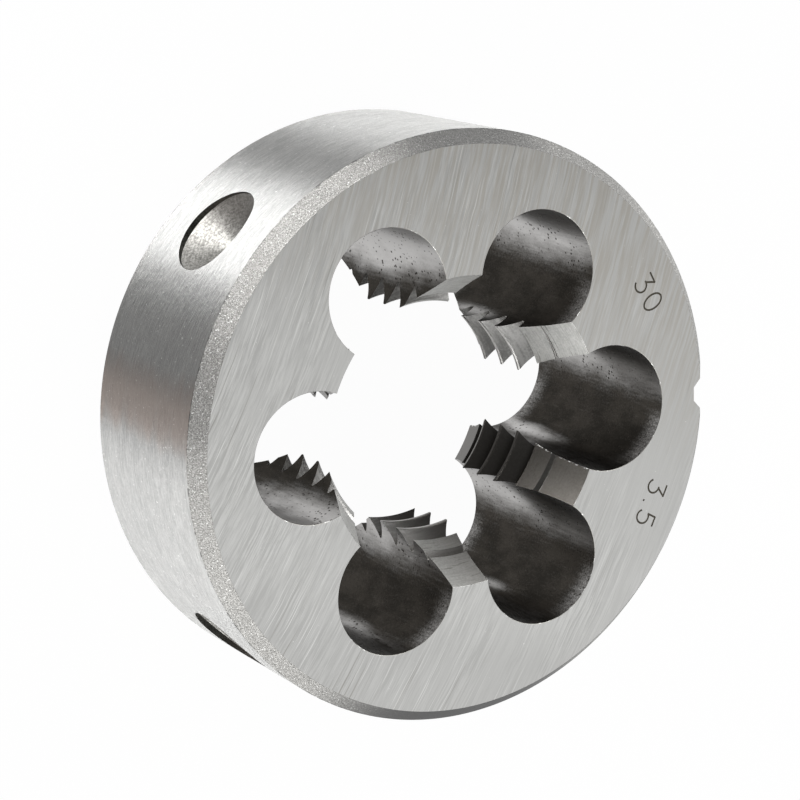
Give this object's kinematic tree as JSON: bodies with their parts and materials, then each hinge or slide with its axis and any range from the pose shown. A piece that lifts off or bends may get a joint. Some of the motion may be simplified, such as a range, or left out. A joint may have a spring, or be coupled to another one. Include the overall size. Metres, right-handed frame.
{
  "type": "round threading die",
  "caption": "Thick round steel die that cuts an outside thread: threaded cutting lands between chip holes, screw dimples and an adjusting notch in the rim.",
  "frame": {"origin": "centre of the back face, on the cutting axis", "axes": "+Z along the cutting axis, from the back face to the front face where the bar enters; +X through the adjusting notch in the rim"},
  "size_m": [0.0648, 0.065, 0.025],
  "materials": {
    "ground_steel": "ground tool steel, bright on the face and rim, dark in the chip holes"
  },
  "bodies": {
    "root": {"threading_die": "ground_steel"}
  },
  "joints": []
}
